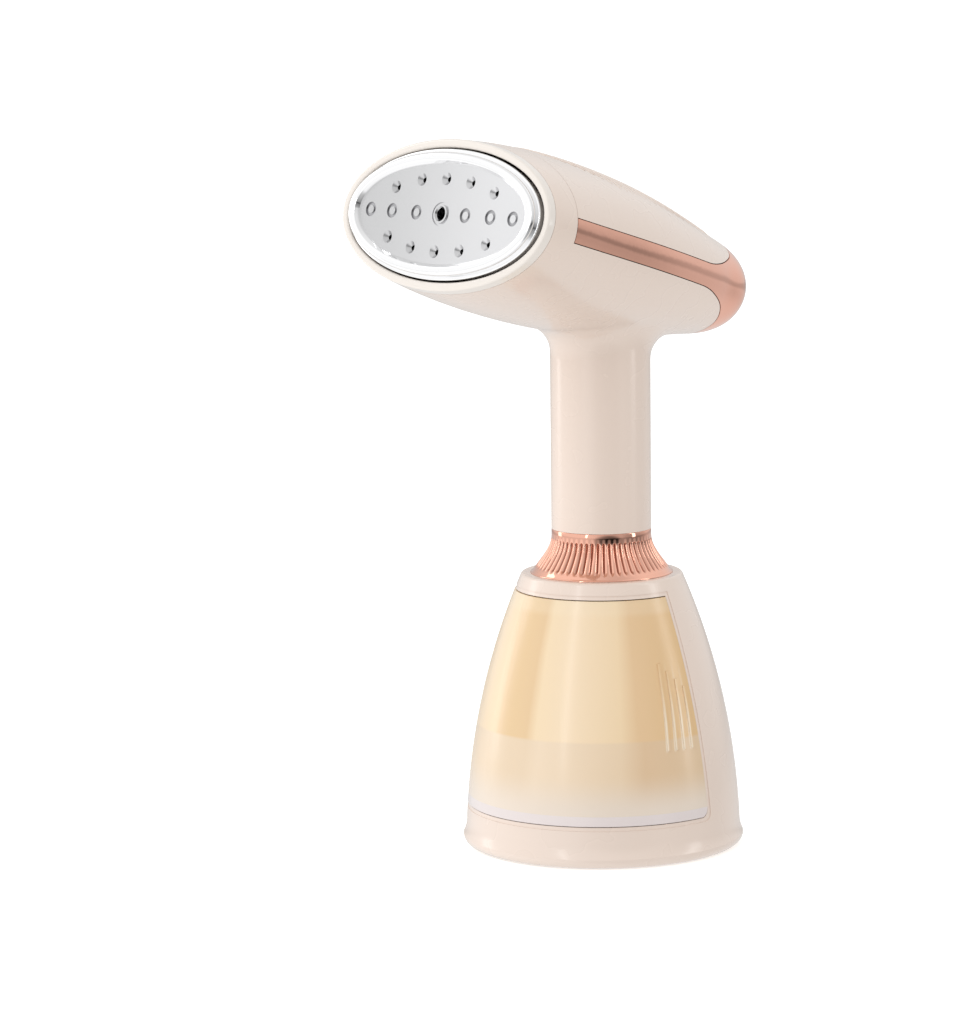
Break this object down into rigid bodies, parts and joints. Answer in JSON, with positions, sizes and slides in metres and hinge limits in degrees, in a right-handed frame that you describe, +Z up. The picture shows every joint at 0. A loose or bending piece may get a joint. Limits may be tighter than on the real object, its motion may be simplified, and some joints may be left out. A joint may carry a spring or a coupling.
{
  "type": "handheld garment steamer",
  "caption": "Standing handheld garment steamer: wide oval steam plate, tapered head, round handle, fluted collar and flared base that holds a slide-out translucent water tank.",
  "frame": {"origin": "centre of the base on the surface it stands on, on the handle's axis", "axes": "+Z up along the handle, the steam plate faces -Y and 14.4 degrees upwards, +X is to the right seen from the front"},
  "size_m": [0.1112, 0.1569, 0.2719],
  "materials": {
    "cream_plastic": "glossy moulded plastic",
    "rose_gold_plating": "mirror-like rose-gold plating on plastic",
    "polished_plate": "polished metal",
    "amber_tank": "translucent amber plastic",
    "pale_tank_floor": "milky plastic",
    "cast_aluminium": "as cast",
    "dark_nylon": "matte moulding",
    "white_nylon": "matte moulding",
    "board_green": "lacquered circuit board",
    "steel": "zinc-plated",
    "copper_coil": "lacquered winding",
    "silicone": "soft silicone",
    "grey_rubber": "matte rubber",
    "clear_lens": "clear tinted plastic",
    "wire_insulation": "insulated wire"
  },
  "bodies": {
    "steamer": {"main_shell": "cream_plastic", "handle_shell": "cream_plastic", "top_cover": "cream_plastic", "trim_band": "rose_gold_plating", "handle_panel": "cream_plastic", "bezel_ring": "cream_plastic", "steam_plate": "polished_plate", "plate_seal": "silicone", "boiler_body": "cast_aluminium", "boiler_cover": "cast_aluminium", "boiler_screws": "steel", "boiler_mount": "dark_nylon", "heater_element": "steel", "thermostat": "dark_nylon", "thermal_fuse": "white_nylon", "power_board": "board_green", "steam_button_spring": "steel", "power_button_spring": "steel", "steam_switch": "dark_nylon", "power_switch": "dark_nylon", "indicator_lens": "clear_lens", "button_board": "board_green", "neck_collar": "rose_gold_plating", "neck_clip": "steel", "base_housing": "cream_plastic", "bay_liner": "cream_plastic", "base_cover": "cream_plastic", "base_screws": "steel", "foot_pad": "grey_rubber", "cord_gland": "grey_rubber", "dock_nozzle": "white_nylon", "suction_hose": "silicone", "feed_hose": "silicone", "mains_wires": "wire_insulation", "heater_leads": "wire_insulation", "switch_wires": "wire_insulation", "pump_body": "dark_nylon", "pump_coil": "copper_coil", "pump_yoke": "steel", "pump_spring": "steel"},
    "tank": {"tank_shell": "amber_tank", "filler_plate": "amber_tank", "tank_floor": "pale_tank_floor", "outlet_seal": "silicone"},
    "filler_plug": {"filler_plug": "silicone"},
    "steam_button": {"steam_button": "rose_gold_plating"},
    "power_button": {"power_button": "rose_gold_plating"},
    "pump_plunger": {"pump_plunger": "steel"}
  },
  "joints": [
    {"name": "tank_slide", "type": "slide", "parent": "steamer", "child": "tank", "axis": [0, -1, 0], "range_m": [0, 0.07]},
    {"name": "filler_plug_pull", "type": "slide", "parent": "tank", "child": "filler_plug", "axis": [0, 0, 1], "range_m": [0, 0.007]},
    {"name": "steam_button_press", "type": "slide", "parent": "steamer", "child": "steam_button", "axis": [0, -1, 0], "range_m": [0, 0.002], "stiffness_N_per_m": 500, "springref_m": -0.001, "deforming": ["steam_button_spring"]},
    {"name": "power_button_press", "type": "slide", "parent": "steamer", "child": "power_button", "axis": [0, -1, 0], "range_m": [0, 0.0012], "stiffness_N_per_m": 500, "springref_m": -0.001, "deforming": ["power_button_spring"]},
    {"name": "pump_stroke", "type": "slide", "parent": "steamer", "child": "pump_plunger", "axis": [0, 0, 1], "range_m": [0, 0.002], "stiffness_N_per_m": 400, "springref_m": -0.001, "deforming": ["pump_spring"]}
  ]
}
